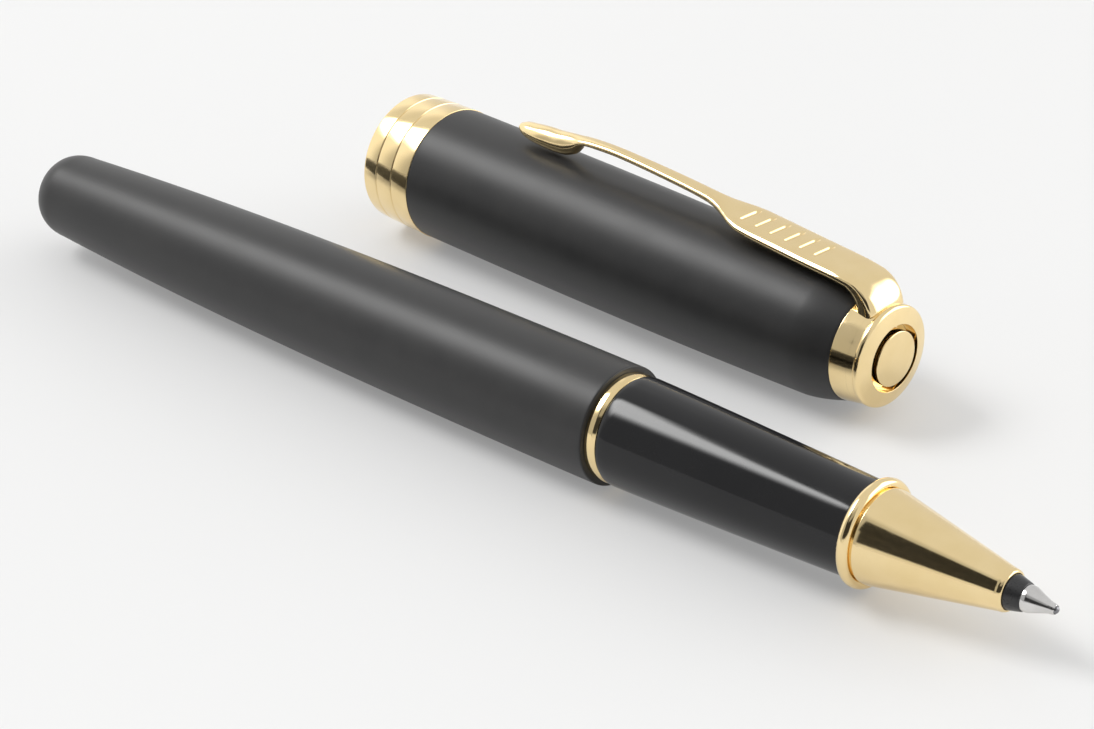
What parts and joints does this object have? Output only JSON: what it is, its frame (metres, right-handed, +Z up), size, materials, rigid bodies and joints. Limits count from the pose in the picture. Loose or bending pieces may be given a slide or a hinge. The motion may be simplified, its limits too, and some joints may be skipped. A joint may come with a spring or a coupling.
{
  "type": "rollerball pen",
  "caption": "Uncapped rollerball pen lying beside its cap: cigar-shaped matte barrel, glossy grip, gold cone nose, and a clipped cap with a gold mouth band and ringed crown.",
  "frame": {"origin": "centre of the overall box, on the surface the pen and cap lie on", "axes": "+X along the pen towards the writing tip, +Y from the pen towards the cap, +Z up"},
  "size_m": [0.1177, 0.036, 0.0157],
  "materials": {
    "black_lacquer": "matte satin lacquer",
    "gloss_black": "high gloss",
    "polished_gold": "polished gold plate",
    "bare_brass": "machined brass",
    "spring_steel": "drawn wire and sheet",
    "refill_metal": "satin tube",
    "tip_steel": "turned and polished",
    "ball_carbide": "polished ball",
    "collar_black": "moulded, semi gloss",
    "liner_black": "moulded, matte",
    "plug_grey": "moulded, matte",
    "ink_fibre": "ink-soaked fibre"
  },
  "bodies": {
    "barrel": {"barrel_tube": "black_lacquer", "barrel_thread_insert": "bare_brass", "spring_seat": "plug_grey", "refill_spring": "spring_steel"},
    "refill": {"refill_tube": "refill_metal", "refill_rear_plug": "plug_grey", "ink_reservoir": "ink_fibre", "refill_nose_holder": "collar_black", "ink_feed_rod": "ink_fibre", "writing_tip": "tip_steel"},
    "ball": {"writing_ball": "ball_carbide"},
    "ring": {"centre_ring": "polished_gold"},
    "section": {"grip_section": "gloss_black", "threaded_ferrule": "bare_brass", "section_liner": "bare_brass", "front_ring": "polished_gold", "nose_cone": "polished_gold"},
    "cap": {"cap_shell": "black_lacquer", "cap_lip_band": "polished_gold", "cap_inner_liner": "liner_black", "cap_clutch_ring": "spring_steel", "threaded_bush": "bare_brass", "crown_washer": "liner_black", "crown_collar": "polished_gold", "clip_root": "polished_gold", "crown_flange_ring": "polished_gold", "finial_disc": "polished_gold", "finial_screw": "spring_steel"},
    "clip": {"clip_arm": "polished_gold"}
  },
  "joints": [
    {"name": "refill_pull", "type": "slide", "parent": "barrel", "child": "refill", "axis": [1, 0, 0], "range_m": [0, 0.112]},
    {"name": "tip_ball_roll", "type": "hinge", "parent": "refill", "child": "ball", "pos_m": [0.0585, -0.01257, 0.0054], "axis": [0, 1, 0], "continuous": true},
    {"name": "section_advance", "type": "slide", "parent": "refill", "child": "ring", "axis": [1, 0, 0], "range_m": [0, 0.0072]},
    {"name": "section_turn", "type": "hinge", "parent": "ring", "child": "section", "pos_m": [0.0153, -0.01257, 0.0054], "axis": [1, 0, 0], "range_deg": [0, 1095]},
    {"name": "cap_slide", "type": "slide", "parent": "barrel", "child": "cap", "axis": [1, 0, 0], "range_m": [0, 0.1]},
    {"name": "clip_flex", "type": "hinge", "parent": "cap", "child": "clip", "pos_m": [0.01973, 0.0107, 0.01346], "axis": [0.029, 0.9958, -0.0872], "range_deg": [0, 4], "stiffness_Nm_per_rad": 6}
  ],
  "couplings": [
    {"joint": "section_turn", "follows": "section_advance", "rad_per_m": 2618}
  ]
}
